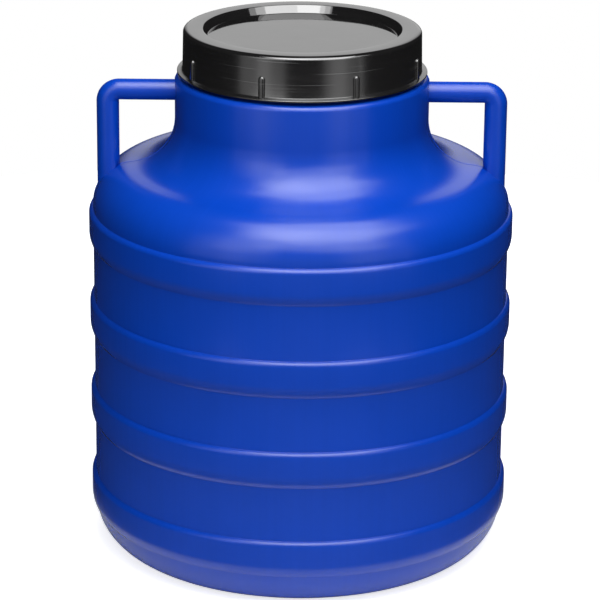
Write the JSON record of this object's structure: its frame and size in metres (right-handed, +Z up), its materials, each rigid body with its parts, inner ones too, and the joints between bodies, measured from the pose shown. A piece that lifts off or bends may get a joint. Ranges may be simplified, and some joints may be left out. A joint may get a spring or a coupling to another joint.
{
  "type": "food barrel",
  "caption": "Wide-neck round plastic barrel with raised hoop bands, round bail handles at the neck and a ribbed screw lid over a flat gasket.",
  "frame": {"origin": "on the barrel's vertical axis, on the surface that the base ring stands on", "axes": "+Z up along the barrel's axis, +X towards the right handle with both handles in the XZ plane, -Y towards the front"},
  "size_m": [0.38, 0.38, 0.4785],
  "materials": {
    "barrel_body": "semi-gloss blow-moulded polyethylene, deep blue",
    "left_handle": "semi-gloss blow-moulded polyethylene, deep blue",
    "right_handle": "semi-gloss blow-moulded polyethylene, deep blue",
    "screw_lid": "glossy injection-moulded polypropylene, black",
    "lid_gasket": "plain grey food-grade rubber"
  },
  "bodies": {
    "barrel": {"barrel_body": "barrel_body", "left_handle": "left_handle", "right_handle": "right_handle"},
    "seal": {"lid_gasket": "lid_gasket"},
    "lid": {"screw_lid": "screw_lid"}
  },
  "joints": [
    {"name": "lid_lift", "type": "slide", "parent": "barrel", "child": "seal", "axis": [0, 0, 1], "range_m": [0, 0.0361]},
    {"name": "lid_turn", "type": "hinge", "parent": "seal", "child": "lid", "pos_m": [0, 0, 0.455], "axis": [0, 0, 1], "range_deg": [0, 1080]}
  ],
  "couplings": [
    {"joint": "lid_lift", "follows": "lid_turn", "m_per_rad": 0.0019099}
  ]
}
